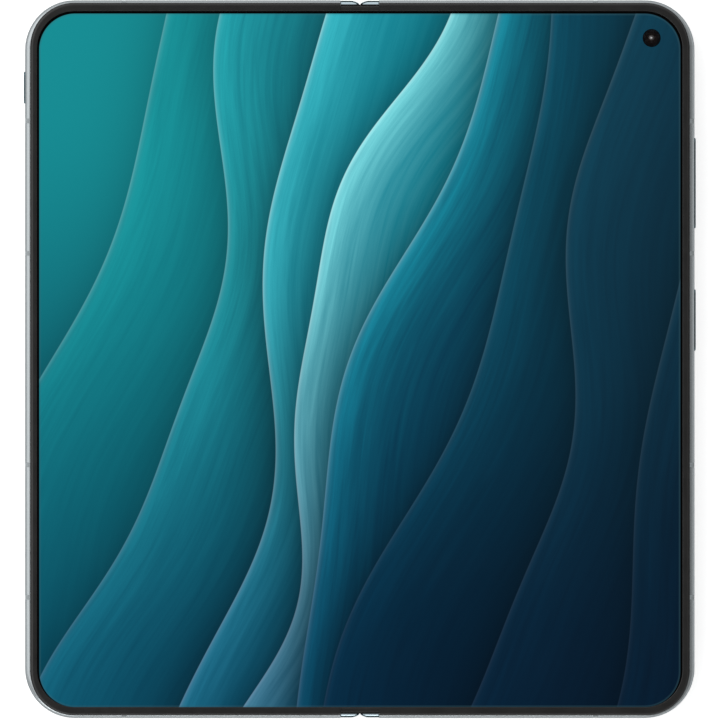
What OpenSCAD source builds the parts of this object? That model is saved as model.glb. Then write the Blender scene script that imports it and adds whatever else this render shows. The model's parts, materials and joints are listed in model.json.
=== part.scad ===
// Book-style foldable phone, lying open on its back with the inner screen up.
// Millimetres. X runs across the open phone, Y runs up it along the hinge, and Z is up.
// The origin is on the table, under the middle of the open phone.

/* [Body] */
// Width of the open phone, across both halves
body_w = 143.1; // [119:0.1:172]
// Height of the phone, along the hinge
body_h = 153.4; // [127:0.1:185]
// Thickness of the open phone, from the back glass to the top of the bezel
body_t = 5.8; // [5.6:0.1:7]
// Radius of the four outer corners, seen from the front
corner_r = 10.6; // [9:0.1:13]
// Thickness of the side walls
wall_t = 2; // [1.8:0.1:2.3]
// Radius that rounds the side walls at the back
back_edge_r = 1.9; // [1.5:0.1:2]
// Radius that rounds the side walls beside the bezel
front_edge_r = 1.2; // [1:0.1:1.4]

/* [Covers] */
// Thickness of the back glass, the cover glass and the lip beside the hinge
back_t = 0.5; // [0.4:0.05:0.6]
// Width of the rim that the side walls show round the back glass
back_rim = 1.3; // [1.1:0.1:1.5]
// Thickness of the plate that carries the inner screen
mid_plate_t = 0.75; // [0.6:0.05:0.8]

/* [Inner screen] */
// Thickness of the flexible screen
screen_t = 0.35; // [0.3:0.05:0.4]
// Height of the bezel's lip over the screen
lip_t = 0.3; // [0.25:0.05:0.4]
// Metal rim that shows outside the bezel, on the left and right
rim_side = 1.2; // [1:0.1:1.3]
// Metal rim that shows outside the bezel, at the top and bottom
rim_end = 0.6; // [0.5:0.1:0.8]
// Width of the bezel on the left and right
bezel_side = 1.4; // [1.2:0.1:1.8]
// Width of the bezel at the top and bottom
bezel_end = 1.75; // [1.5:0.05:2]
// How far the screen runs in under the bezel
screen_tuck = 0.5; // [0.4:0.1:0.6]
// Radius of the hole in the screen for the inner camera
punch_r = 1.88; // [1.6:0.02:2.2]
// Distance of the inner camera from the right edge
punch_from_side = 9.2; // [8.5:0.1:12]
// Distance of the inner camera from the top edge
punch_from_top = 8.1; // [7.5:0.1:9]

/* [Hinge] */
// Depth of the two pivots under the top of the bezel
pivot_drop = 1.65; // [1.6:0.05:1.8]
// Gap left between the two bezels when the phone is closed
closed_gap = 0.1; // [0.06:0.02:0.2]
// Gap left between the two halves' back edges when the phone is open
open_gap = 0.3; // [0.2:0.05:0.4]
// Radius of the hinge shafts
shaft_r = 0.5; // [0.42:0.02:0.6]
// Radius of the barrels round the shafts
barrel_r = 0.9; // [0.86:0.01:0.92]
// Thickness of the curved spine
spine_wall = 0.45; // [0.35:0.05:0.55]
// Clearance between the spine and the back lips that pass round it
spine_gap = 0.15; // [0.1:0.05:0.25]
// Length of each hinge module
module_len = 15; // [14:0.5:18]
// Teeth on each of the four timing gears
gear_teeth = 10; // [8:1:12]
// Thickness of the two end ears beside the hinge
ear_t = 0.8; // [0.6:0.1:0.9]

/* [Controls] */
// Length of the volume rocker
volume_len = 19.3; // [16:0.1:22]
// Distance of the volume rocker's middle from the top edge
volume_from_top = 39.05; // [38:0.05:40]
// Length of the power button
power_len = 13.1; // [10:0.1:16]
// Distance of the power button's middle from the top edge
power_from_top = 68.35; // [66:0.05:71]
// Length of the alert slider
slider_len = 6.8; // [5.5:0.1:8.2]
// Distance of the alert slider's middle from the top edge
slider_from_top = 18.6; // [17:0.1:19.5]
// Travel of the alert slider each way
slider_travel = 1.6; // [1:0.1:1.8]
// Width of the buttons, front to back
key_w = 1.8; // [1.5:0.1:2]
// How far the buttons stand out of the side walls
key_proud = 0.3; // [0.2:0.05:0.4]

/* [Rear camera] */
// Width and height of the camera island
island_w = 34; // [32:0.5:36]
// Height of the island above the back glass
island_t = 1.6; // [1.2:0.1:2.2]
// Corner radius of the island
island_r = 9; // [7:0.5:12]
// Height of the lens rings above the island
ring_proud = 0.4; // [0.2:0.1:0.6]
// Radius of the hole that each lens ring sits in
lens_hole_r = 5.6; // [5:0.1:6]
// Distance of the lenses from the island's middle, across and along
lens_pitch = 8; // [7.4:0.1:8.6]
// Radius of the flash window
flash_r = 2.1; // [1.6:0.1:2.6]

/* [Ports] */
// Width of the USB-C opening
usb_w = 8.34; // [8.34:0.01:8.4]
// Height of the USB-C opening
usb_h = 2.56; // [2.5:0.01:2.6]
// Depth of the USB-C receptacle
usb_depth = 7; // [6.5:0.1:8]
// Width of the SIM tray's front
tray_front_w = 15.5; // [14:0.5:16]
// Length of the SIM tray
tray_len = 16; // [14:0.5:18]
// Radius of the eject hole in the SIM tray
eject_r = 0.5; // [0.4:0.05:0.6]

/* [Hidden] */
$fn = 64;
slide_gap = 0.1;   // clearance round the buttons and the tray
seat_gap = 0.05;   // clearance round pieces that stay still
shaft_gap = 0.03;  // radial clearance of shafts and pins
skin = 1;          // cutters reach this far past the surface that they cut

// Heights, from the back glass at 0
frame_top = body_t - lip_t;
screen_top = body_t - lip_t;
screen_bottom = screen_top - screen_t;
mid_top = screen_bottom - seat_gap;
mid_bottom = mid_top - mid_plate_t;
side_mid_z = frame_top / 2;
bump_h = island_t + ring_proud;
inside_low = back_t + 0.25;            // where pieces behind the back glass start
cover_low = back_t + 1.05;             // the same behind the outer screen
inside_high = mid_bottom - 0.15;       // where pieces under the middle plate end

// The two hinge axes lie at +pivot_x and -pivot_x, at the height pivot_z
pivot_x = pivot_drop + closed_gap / 2;
pivot_z = body_t - pivot_drop;
spine_r = pivot_z - back_t - spine_gap;
spine_in_r = spine_r - spine_wall;
spine_top = pivot_z - 1.15;            // low enough for the arms to pass over
ear_set = 0.1;                         // the ears stand back from the outer edge
ear_back = ear_t + ear_set;
spine_half = body_h / 2 - ear_back - slide_gap;
module_y = body_h / 2 - 24.7;
module_ys = [-module_y, 0, module_y];

// Places across the phone, measured from the fold line
lip_x = open_gap / 2;
ear_x = 4.13;
wall_x = pivot_x + spine_r + 0.5;      // the low wall that closes each half at the hinge
wall_in_x = wall_x + 0.8;
glass_x = wall_in_x + 0.1;
arm_reach = 6.8;                       // length of an arm past its pivot
ledge_x = pivot_x + arm_reach + 0.1;
ledge_top = pivot_z - 0.95;
fold_half = 6.2;                       // half the width of the screen's bending zone
wing_in_x = pivot_x + 1.2;
wing_pivot_x = pivot_x + 4.8;
wing_t = 0.2;
wing_z = screen_bottom - 0.02 - wing_t / 2;
plate_x = wing_pivot_x + 0.3;          // the middle plate starts here
screw_x = ledge_x - 0.95;
screw_y = 1.6;
screw_r = 0.5;
screw_low = back_t + 1.1;
room_x0 = ledge_x + 0.6;               // the room inside each half
room_x1 = body_w / 2 - wall_t - 1;
room_y1 = body_h / 2 - wall_t - 0.3;
half_mid_x = (room_x0 + room_x1) / 2;

// Insets of the bezel's window and of the screen's edge: sideways, then endways
window_in = [rim_side + bezel_side, rim_end + bezel_end];
screen_in = [window_in[0] - screen_tuck, window_in[1] - screen_tuck];
punch_x = body_w / 2 - punch_from_side;
punch_y = body_h / 2 - punch_from_top;

// Timing gears: four equal gears in a zigzag between the two pivots
gear_r = 0.78;
addendum = barrel_r - gear_r - 0.02;
dedendum = addendum + 0.03;
idler_x = gear_r;
idler_z = pivot_z - sqrt(pow(2 * gear_r, 2) - pow(pivot_x - idler_x, 2));
idler_pin_r = 0.3;
gear_len = 3;
core_ear = 2;                          // length of a hinge core's two ears
tooth_step = 360 / gear_teeth;
backlash = 0.8;                        // degrees taken off each flank
pressure = 20;
base_r = gear_r * cos(pressure);

// Keys, from the right edge inward
volume_y = body_h / 2 - volume_from_top;
power_y = body_h / 2 - power_from_top;
slider_y = body_h / 2 - slider_from_top;
wall_in = body_w / 2 - wall_t;
flange_t = 0.45;
rocker_back = 0.3;                     // room behind the wall for the rocker to rock
rib_r = 0.35;                          // rib behind the rocker, on which it rocks

// Rear camera
island_x = body_w / 2 - 25.5;
island_y = body_h / 2 - 25;
island_edge = 0.8;
main_at = [island_x - lens_pitch, island_y + lens_pitch];
wide_at = [island_x - lens_pitch, island_y - lens_pitch];
zoom_at = [island_x + lens_pitch, island_y - lens_pitch];
flash_at = [island_x + lens_pitch, island_y + lens_pitch];
ring_wall = 0.7;
ring_flange = 0.75;
ring_in_r = lens_hole_r - seat_gap - ring_wall;
glass_t = 0.5;
glass_low = -bump_h + 0.15;

// Boards, batteries and the bottom edge
board_t = 0.8;
board_low = inside_high - board_t;
board_w = min(17, main_at[0] - 7 - room_x0);
board_y0 = body_h / 2 - 48.5;
battery_x0 = room_x0 + 0.6;
battery_x1 = room_x1 - 1.6;
battery_y0 = -body_h / 2 + 31;
battery_y1 = board_y0 - 2;
shield_h = 1.2;
usb_wall = 0.3;
usb_x = half_mid_x;
tray_x = room_x0 + 10;
tray_w = tray_front_w - 3;
tray_front_t = 1.2;
tray_front_h = 2;
speaker_x0 = room_x1 - 17;
speaker_y0 = room_y1 - 20;
port_row_x = room_x1 - 10.5;
port_r = 0.6;

// Antenna breaks
break_w = 1;
break_t = 0.4;
break_ys = [body_h / 2 - 25.8, body_h / 2 - 54.1, power_y - power_len / 2 - 24.4, 25.8 - body_h / 2];
break_x = body_w / 2 - 21.2;

// Flat cable across the hinge: its upper line, from the fold to the board
flex_t = 0.12;
flex_y0 = board_y0 + 1;
flex_y1 = flex_y0 + 12;
flex_line = [[0, pivot_z - spine_in_r + 0.3], [pivot_x + 1.4, pivot_z - 2.15],
             [pivot_x + 2.7, spine_top + 0.25], [wall_x - 0.5, spine_top + 0.35],
             [room_x0 + 3, board_low]];

// ---- Shapes used by many pieces ----

// Lifts the phone so that its lens rings stand on the table
module lifted() translate([0, 0, bump_h]) children();

// The left half's version of a piece of the right half
module flipped() mirror([1, 0, 0]) children();

// A piece of the top, and its copy at the bottom
module both_ends() for (j = [0, 1]) mirror([0, j, 0]) children();

// Extrudes an X-Z outline from y0 to y1
module along_y(y0, y1) translate([0, y1, 0]) rotate([90, 0, 0]) linear_extrude(y1 - y0) children();

// Extrudes a Y-Z outline from x0 to x1
module along_x(x0, x1) translate([x0, 0, 0]) rotate([90, 0, 90]) linear_extrude(x1 - x0) children();

// A box from one corner to the other
module block(low, high) translate(low) cube(high - low);

// A round-ended outline about the origin, longer in Y
module pill(len, w) {
    square([w, len - w], center = true);
    for (s = [-1, 1]) translate([0, s * (len - w) / 2]) circle(w / 2);
}

// Outline of the right half inset from its outer edge, from x0 outward, with round corners
module half_outline(x0, in_side, in_end, r) {
    x1 = body_w / 2 - in_side;
    y1 = body_h / 2 - in_end;
    translate([x0, -y1]) square([x1 - r - x0, 2 * y1]);
    translate([x1 - r, -(y1 - r)]) square([r, 2 * (y1 - r)]);
    for (j = [-1, 1]) translate([x1 - r, j * (y1 - r)]) circle(r);
}

// The same outline as a plate from z0 to z1
module half_plate(x0, in_side, in_end, r, z0, z1)
    translate([0, 0, z0]) linear_extrude(z1 - z0) half_outline(x0, in_side, in_end, r);

// Section of a side wall whose outer face is at 0, inset by a margin
module wall_section(t, margin = 0) difference() {
    translate([-t, margin]) square([t - margin, frame_top - 2 * margin]);
    back_r = back_edge_r - margin;
    front_r = front_edge_r - margin;
    translate([-margin, margin]) corner_cut(back_r);
    translate([-margin, frame_top - margin]) mirror([0, 1]) corner_cut(front_r);
}

// What rounds a corner that lies at the origin, with the material on its -X +Y side
module corner_cut(r) difference() {
    translate([-r, -skin]) square([r + skin, r + skin]);
    translate([-r, r]) circle(r);
}

// ---- Frames ----

// The rounded side walls of the right half
module side_walls() {
    translate([body_w / 2, 0, 0]) along_y(-(body_h / 2 - corner_r), body_h / 2 - corner_r)
        wall_section(wall_t);
    both_ends() {
        translate([0, body_h / 2, 0]) along_x(ear_x + 0.02, body_w / 2 - corner_r)
            wall_section(wall_t);
        translate([body_w / 2 - corner_r, body_h / 2 - corner_r, 0])
            rotate_extrude(angle = 90) translate([corner_r, 0]) wall_section(wall_t);
    }
}

// Room in the walls for the bezel above and for the glass below
module cover_seats() {
    half_plate(-skin, rim_side - seat_gap, rim_end - seat_gap, corner_r - rim_side, mid_top, body_t);
    half_plate(glass_x - seat_gap, back_rim - seat_gap, back_rim - seat_gap, corner_r - back_rim,
               -skin, back_t + seat_gap);
}

// Sections across the wall at each antenna break, w wide
module at_breaks(w) {
    for (y = break_ys) translate([body_w / 2, y, 0]) along_y(-w / 2, w / 2) children();
    both_ends() translate([0, body_h / 2, 0]) along_x(break_x - w / 2, break_x + w / 2) children();
}

// The grooves that the antenna breaks fill
module break_grooves() at_breaks(break_w) difference() {
    translate([-break_w, -skin]) square([break_w + skin, frame_top + 2 * skin]);
    wall_section(wall_t + skin, break_t);
}

module antenna_breaks() difference() {
    at_breaks(break_w - 0.02) difference() {
        intersection() {
            wall_section(wall_t);
            translate([-break_w, 0]) square([break_w, frame_top]);
        }
        wall_section(wall_t + skin, break_t);
    }
    cover_seats();
}

// Screw holes that run through the arms into the ledges
module arm_screw_holes(ys) for (y = ys) translate([screw_x, y + screw_y, screw_low - 0.1])
    cylinder(r = screw_r + shaft_gap, h = pivot_z - screw_low + 0.1);

// What both frames share: walls, middle plate, hinge lip, hinge wall and arm ledges
module frame_body() difference() {
    union() {
        side_walls();
        half_plate(plate_x, wall_t - 0.1, wall_t - 0.1, corner_r - wall_t + 0.1, mid_bottom, mid_top);
        block([plate_x - 0.4, -spine_half, mid_bottom], [plate_x + 0.1, spine_half, mid_top - 0.35]);
        block([lip_x, -(body_h / 2 - ear_back), 0], [wall_in_x, body_h / 2 - ear_back, back_t]);
        block([wall_x, -(body_h / 2 - ear_back), 0], [wall_in_x, body_h / 2 - ear_back, spine_top]);
        for (y = module_ys)
            block([wall_x, y - module_len / 2, back_t + seat_gap], [ledge_x, y + module_len / 2, ledge_top]);
    }
    cover_seats();
    break_grooves();
    both_ends() block([ear_x - skin, body_h / 4, back_t], [wall_x, body_h / 2 - ear_back, body_t]);
    arm_screw_holes(module_ys);
}

// A slot through the side wall for a key
module key_slot(y, len) translate([wall_in - skin / 2, y, side_mid_z]) rotate([0, 90, 0])
    linear_extrude(wall_t + skin) pill(len + 2 * slide_gap, key_w + 2 * slide_gap);

// A flat slot through the bottom wall
module end_slot(x, w, h) translate([x, -body_h / 2 + wall_t + skin / 2, side_mid_z])
    rotate([90, 0, 0]) linear_extrude(wall_t + skin) rotate(90) pill(w, h);

// Round holes through the bottom wall
module port_row(x, count) for (k = [0:count - 1])
    translate([x + (k - (count - 1) / 2) * 2.2, -body_h / 2 - skin, side_mid_z])
        rotate([-90, 0, 0]) cylinder(r = port_r, h = wall_t + 2 * skin);

module right_frame() color("lightslategray") lifted() difference() {
    frame_body();
    key_slot(volume_y, volume_len);
    key_slot(power_y, power_len);
    end_slot(usb_x, usb_w + 2 * (usb_wall + seat_gap), usb_h + 2 * (usb_wall + seat_gap));
    end_slot(tray_x, tray_front_w + 2 * slide_gap, tray_front_h + 2 * slide_gap);
    port_row(port_row_x, 6);
    mirror([0, 1, 0]) port_row(half_mid_x, 1);
    translate([punch_x, punch_y, 0]) cylinder(r = punch_r + 0.3, h = body_t);
}

module left_frame() color("lightslategray") lifted() flipped() difference() {
    frame_body();
    key_slot(slider_y, slider_len + 2 * slider_travel);
    mirror([0, 1, 0]) port_row(port_row_x, 6);
    port_row(half_mid_x, 1);
}

module right_antenna_breaks() color("slategray") lifted() antenna_breaks();
module left_antenna_breaks() color("slategray") lifted() flipped() antenna_breaks();

// The polished ears that close the frame beside the hinge. Their outline turns round the
// pivot, so that they pass the other half's ears, and their outer face curves in to the fold.
module end_ears() both_ends() difference() {
    intersection() {
        translate([0, body_h / 2 - ear_set, 0]) along_x(lip_x, ear_x) wall_section(ear_t);
        along_y(body_h / 2 - 2, body_h / 2 + 1) union() {
            translate([pivot_x, 0]) square([ear_x - pivot_x, frame_top]);
            translate([lip_x, 0]) square([ear_x - lip_x, pivot_z]);
            translate([pivot_x, pivot_z]) circle(pivot_x - lip_x);
        }
    }
    sweep_r = 3.1;
    translate([2.05, body_h / 2 - ear_set - sweep_r, -skin]) difference() {
        translate([-sweep_r, 0, 0]) cube([sweep_r, sweep_r + skin, body_t + 2 * skin]);
        cylinder(r = sweep_r, h = body_t + 2 * skin);
    }
}

module right_end_ears() color("lightsteelblue") lifted() end_ears();
module left_end_ears() color("lightsteelblue") lifted() flipped() end_ears();

// ---- Covers, bezels and the inner screen ----

module back_plate() half_plate(glass_x, back_rim, back_rim, corner_r - back_rim, 0, back_t);

module right_back_cover() color("darkslategray") lifted() difference() {
    back_plate();
    translate([island_x, island_y, -skin]) linear_extrude(back_t + 2 * skin) {
        w = island_w + 2 * seat_gap;
        r = island_r + seat_gap;
        square([w - 2 * r, w], center = true);
        square([w, w - 2 * r], center = true);
        for (i = [-1, 1], j = [-1, 1]) translate([i * (w / 2 - r), j * (w / 2 - r)]) circle(r);
    }
}

module cover_glass() color("black") lifted() flipped() back_plate();

// The outer screen, bonded behind the cover glass, with room for the ledges and the camera
module cover_screen() color("midnightblue") lifted() flipped() difference() {
    half_plate(glass_x, wall_t + 0.1, wall_t + 0.1, corner_r - wall_t - 0.1,
               back_t + seat_gap, cover_low - 0.1);
    translate([half_mid_x, body_h / 2 - 6, 0]) cylinder(r = 2, h = body_t);
    for (y = module_ys)
        block([0, y - module_len / 2 - slide_gap, 0],
              [ledge_x + slide_gap, y + module_len / 2 + slide_gap, body_t]);
}

module half_bezel() difference() {
    half_plate(ear_x + 0.02, rim_side, rim_end, corner_r - rim_side, mid_top, body_t);
    half_plate(0, window_in[0], window_in[1], corner_r - window_in[0], 0, body_t + skin);
    half_plate(0, screen_in[0] - seat_gap, screen_in[1] - seat_gap, corner_r - screen_in[0],
               0, screen_top + 0.02);
}

module right_bezel() color("#2b2a2a") lifted() half_bezel();
module left_bezel() color("#2b2a2a") lifted() flipped() half_bezel();

// The stiff part of the inner screen over one half
module half_screen() half_plate(fold_half, screen_in[0], screen_in[1], corner_r - screen_in[0],
                                screen_bottom, screen_top);

module display_right() color("teal") lifted() difference() {
    half_screen();
    translate([punch_x, punch_y, 0]) cylinder(r = punch_r + seat_gap, h = body_t);
}

module display_left() color("teal") lifted() flipped() half_screen();

// The bending middle of the screen, with the soft end strips that join the two bezels
module display_fold() color("teal") lifted() {
    y1 = body_h / 2 - screen_in[1];
    strip_y1 = spine_half;
    block([-fold_half, -y1, screen_bottom], [fold_half, y1, screen_top]);
    both_ends() {
        block([-ear_x, y1 - screen_tuck, screen_top], [ear_x, strip_y1, screen_top + 0.2]);
        block([-ear_x, y1, screen_bottom], [ear_x, strip_y1, screen_top]);
    }
}

// ---- Hinge ----

// Outline of the spine: a flat back between two quarter rounds about the pivots
module spine_outline(r) intersection() {
    union() {
        for (s = [-1, 1]) translate([s * pivot_x, pivot_z]) circle(r);
        translate([-pivot_x, pivot_z - r]) square([2 * pivot_x, r]);
    }
    translate([-wall_x, 0]) square([2 * wall_x, spine_top]);
}

module spine_cover() color("silver") lifted() along_y(-spine_half, spine_half) difference() {
    spine_outline(spine_r);
    for (s = [-1, 1]) translate([s * pivot_x, pivot_z]) circle(spine_in_r);
    translate([-pivot_x, pivot_z - spine_in_r]) square([2 * pivot_x, spine_in_r]);
}

module spine_end_caps() color("silver") lifted() both_ends()
    along_y(spine_half - 1, spine_half) spine_outline(spine_in_r - 0.02);

// A hinge core: two ears with the shaft bores, on a floor, and a rail under the screen
module hinge_core(pins) {
    for (y0 = [-module_len / 2, module_len / 2 - core_ear])
        along_y(y0, y0 + core_ear) difference() {
            union() {
                translate([-pivot_x, pivot_z - spine_in_r]) square([2 * pivot_x, spine_in_r]);
                for (s = [-1, 1]) translate([s * pivot_x, pivot_z]) circle(barrel_r);
                translate([-0.5, pivot_z - 0.1]) square([1, screen_bottom - 0.2 - pivot_z]);
            }
            for (s = [-1, 1]) translate([s * pivot_x, pivot_z]) circle(shaft_r + shaft_gap);
            for (s = pins) translate([s * idler_x, idler_z]) circle(idler_pin_r + shaft_gap);
        }
    along_y(-module_len / 2 + core_ear, module_len / 2 - core_ear)
        translate([-pivot_x, pivot_z - spine_in_r]) square([2 * pivot_x, 0.5]);
    along_y(-module_len / 2, module_len / 2)
        translate([-0.5, screen_bottom - 0.35]) square([1, 0.3]);
}

module hinge_cores() color("dimgray") lifted() both_ends() translate([0, module_y, 0]) hinge_core([]);
module timing_core() color("dimgray") lifted() hinge_core([-1, 1]);

module hinge_shafts() color("gainsboro") lifted() for (y = module_ys, s = [-1, 1])
    translate([s * pivot_x, y - module_len / 2, pivot_z]) rotate([-90, 0, 0])
        cylinder(r = shaft_r, h = module_len);

// Spring washers on the shafts of the end modules, which hold the phone at any angle
module friction_washers() color("goldenrod") lifted()
    for (y = [-module_y, module_y], s = [-1, 1], k = [0:4])
        translate([s * pivot_x, y - module_len / 2 + core_ear + 0.05 + k * 0.6, pivot_z])
            rotate([-90, 0, 0]) difference() {
                cylinder(r = barrel_r - 0.05, h = 0.5);
                translate([0, 0, -skin]) cylinder(r = shaft_r + shaft_gap, h = 3 * skin);
            }

// Outline of a hinge arm about its pivot: a barrel, a neck that dips under the folded
// screen and over the spine's edge, and a foot for the screw
module arm_outline() difference() {
    union() {
        circle(barrel_r);
        polygon([[0.4, -0.6], [1.55, -0.9], [3.4, -0.1], [arm_reach, -0.1],
                 [arm_reach, ledge_top - pivot_z], [2.6, ledge_top - pivot_z],
                 [1.5, -1.7], [-0.35, -0.75]]);
    }
    circle(shaft_r + shaft_gap);
}

arm_y0 = -module_len / 2 + core_ear + gear_len + 0.2;
arm_y1 = module_len / 2 - core_ear - slide_gap;

// The right half's arms at the places ys
module hinge_arms(ys) difference() {
    for (y = ys) translate([pivot_x, y, pivot_z]) along_y(arm_y0, arm_y1) arm_outline();
    arm_screw_holes(ys);
}

// The middle arm, with its gear beside the barrel
module timing_arm(phase) {
    hinge_arms([0]);
    translate([pivot_x, 0, pivot_z]) along_y(arm_y0 - gear_len, arm_y0 + 0.1) difference() {
        rotate(phase) gear_outline();
        circle(shaft_r + shaft_gap);
    }
}

// Half the angle of a tooth at the radius r, with involute flanks above the base circle
function involute(a) = tan(a) * 180 / PI - a;
function tooth_half(r) = tooth_step / 4 - backlash + involute(pressure)
    - involute(acos(min(1, base_r / r)));
function polar(r, a) = [r * cos(a), r * sin(a)];
flank_rs = [gear_r - dedendum, base_r, gear_r - 0.02, gear_r + addendum / 2, gear_r + addendum];

// Outline of a timing gear, with a tooth on its +X side
module gear_outline() {
    circle(gear_r - dedendum + 0.005);
    for (k = [0:gear_teeth - 1]) rotate(k * tooth_step)
        polygon(concat([[0, 0]], [for (r = flank_rs) polar(r, -tooth_half(r))],
                       [for (i = [4:-1:0]) polar(flank_rs[i], tooth_half(flank_rs[i]))]));
}

// The phase of a gear that meshes with one of phase p, seen from it in the direction d
function meshed(p, d) = 2 * d + 180 - p + tooth_step / 2;
to_idler = atan2(idler_z - pivot_z, idler_x - pivot_x);
phase_idler_right = meshed(to_idler, to_idler);
phase_idler_left = meshed(phase_idler_right, 180);
phase_left = meshed(phase_idler_left, -to_idler);

// An idler gear on its pin, which runs in the timing core
module idler_gear(s, phase) color("gold") lifted() translate([s * idler_x, 0, idler_z]) {
    along_y(arm_y0 - gear_len, arm_y0 - slide_gap) rotate(phase) gear_outline();
    along_y(-module_len / 2, module_len / 2) circle(idler_pin_r);
}

module idler_gear_right() idler_gear(1, phase_idler_right);
module idler_gear_left() idler_gear(-1, phase_idler_left);

module right_hinge_arms() color("dimgray") lifted() hinge_arms([-module_y, module_y]);
module left_hinge_arms() color("dimgray") lifted() flipped() hinge_arms([-module_y, module_y]);
module right_timing_arm() color("dimgray") lifted() timing_arm(to_idler);
module left_timing_arm() color("dimgray") lifted() flipped() timing_arm(180 - phase_left);

// A wing plate carries the screen beside the fold and tips down as the phone closes
module wing_plate() along_y(-(spine_half - 1.6), spine_half - 1.6) {
    translate([wing_in_x, wing_z - wing_t / 2]) square([wing_pivot_x - wing_in_x, wing_t]);
    translate([wing_pivot_x, wing_z]) circle(wing_t / 2);
}

module right_wing_plate() color("lightgray") lifted() wing_plate();
module left_wing_plate() color("lightgray") lifted() flipped() wing_plate();

// Screws that hold the three arms to the ledges
module arm_screws() for (y = module_ys) translate([screw_x, y + screw_y, 0]) {
    head_low = pivot_z - 0.1;
    translate([0, 0, screw_low]) cylinder(r = screw_r, h = head_low - screw_low);
    translate([0, 0, head_low]) cylinder(r = 0.85, h = mid_bottom - seat_gap - head_low);
}

module right_screws() color("silver") lifted() arm_screws();
module left_screws() color("silver") lifted() flipped() arm_screws();

// The flat cable that crosses the hinge inside the spine
module hinge_flex() color("darkorange") lifted() for (i = [0, 1]) mirror([i, 0, 0])
    along_y(flex_y0, flex_y1)
        polygon(concat(flex_line, [for (k = [4:-1:0]) flex_line[k] - [0, flex_t]]));

// ---- Controls ----

// A key: a cap that runs through the side wall, and a flange that stays behind it
module key(y, len, back) translate([wall_in, y, side_mid_z]) rotate([0, 90, 0]) {
    translate([0, 0, -back - 0.1]) linear_extrude(wall_t + back + 0.1 + key_proud) pill(len, key_w);
    translate([0, 0, -back - flange_t]) linear_extrude(flange_t) pill(len + 0.8, key_w + 0.6);
}

module volume_rocker() color("lightslategray") lifted() {
    key(volume_y, volume_len, rocker_back);
    translate([wall_in - rocker_back - flange_t / 2, volume_y, side_mid_z - key_w / 2])
        cylinder(r = rib_r, h = key_w);
}

module power_button() color("lightslategray") lifted() key(power_y, power_len, seat_gap);
module alert_slider() color("lightslategray") lifted() flipped() key(slider_y, slider_len, seat_gap);

// The SIM tray: a front plate with the eject hole, and a tray with a pocket for the card
module sim_tray() color("lightslategray") lifted() translate([tray_x, -body_h / 2, side_mid_z])
    difference() {
        union() {
            translate([0, tray_front_t, 0]) rotate([90, 0, 0]) linear_extrude(tray_front_t)
                rotate(90) pill(tray_front_w, tray_front_h);
            block([-tray_w / 2, tray_front_t - 0.1, -0.5], [tray_w / 2, tray_len, 0.5]);
        }
        block([-tray_w / 2 + 1.2, 3.6, -0.2], [tray_w / 2 - 1.2, tray_len - 1.2, 0.5 + skin]);
        translate([tray_front_w / 2 - 1.2, -skin, 0]) rotate([-90, 0, 0])
            cylinder(r = eject_r, h = tray_front_t + 2 * skin);
    }

// ---- Rear camera ----

// A pad with round corners and a rounded outer edge, from low to high
module soft_pad(w, r, edge, low, high) {
    flat = w / 2 - r;
    block([-flat, -flat, low], [flat, flat, high]);
    for (k = [0:3]) rotate(90 * k) {
        translate([flat, 0, 0]) along_y(-flat, flat) pad_edge(r, edge, low, high);
        translate([flat, flat, 0]) rotate_extrude(angle = 90) pad_edge(r, edge, low, high);
    }
}

module pad_edge(r, edge, low, high) difference() {
    translate([0, low]) square([r, high - low]);
    translate([r, low]) corner_cut(edge);
}

module camera_island() color("dimgray") lifted() difference() {
    translate([island_x, island_y, 0]) soft_pad(island_w, island_r, island_edge, -island_t, back_t);
    for (p = [main_at, wide_at, zoom_at]) translate([p[0], p[1], -bump_h - skin])
        cylinder(r = lens_hole_r, h = bump_h + back_t + 2 * skin);
    translate([flash_at[0], flash_at[1], -bump_h - skin])
        cylinder(r = flash_r + seat_gap, h = bump_h + back_t + 2 * skin);
    translate([island_x, island_y + 1.5 * lens_pitch, -bump_h]) cylinder(r = 0.5, h = bump_h);
}

// A lens ring, with a rounded rim and a flange behind the glass
module lens_rings() color("silver") lifted() for (p = [main_at, wide_at, zoom_at])
    translate([p[0], p[1], 0]) rotate_extrude() {
        rim_r = ring_wall / 2;
        translate([ring_in_r + rim_r, -bump_h + rim_r]) circle(rim_r);
        translate([ring_in_r, -bump_h + rim_r]) square([ring_wall, bump_h + back_t - rim_r]);
        translate([ring_in_r - ring_flange, glass_low + glass_t])
            square([ring_flange + 0.1, ring_flange / 2]);
    }

module lens_glasses() color("black") lifted() for (p = [main_at, wide_at, zoom_at])
    translate([p[0], p[1], glass_low]) cylinder(r = ring_in_r - 0.02, h = glass_t);

// A camera: a round barrel in its ring on a square body under the middle plate
module camera(p, low, high) {
    barrel_low = glass_low + glass_t + 0.1;
    translate([p[0], p[1], barrel_low])
        cylinder(r = ring_in_r - ring_flange - seat_gap, h = back_t + 0.3 - barrel_low);
    translate([p[0], p[1], 0]) block([low[0], low[1], back_t + 0.25], [high[0], high[1], inside_high]);
}

module main_camera() color("#202428") lifted() camera(main_at, [-6, -6], [6, 6]);
module wide_camera() color("#202428") lifted() camera(wide_at, [-4.8, -4.8], [4.8, 4.8]);
module zoom_camera() color("#202428") lifted() camera(zoom_at, [-5, -5], [10, 5]);

module flash_window() color("ivory") lifted() translate([flash_at[0], flash_at[1], -island_t])
    cylinder(r = flash_r, h = island_t + back_t);

// ---- Inside the right half ----

module main_board() color("darkgreen") lifted() {
    block([room_x0, board_y0, board_low], [room_x0 + board_w, room_y1 - 1.4, inside_high]);
    block([room_x0, board_y0, board_low], [room_x1 - 2.5, board_y0 + 5, inside_high]);
}

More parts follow.
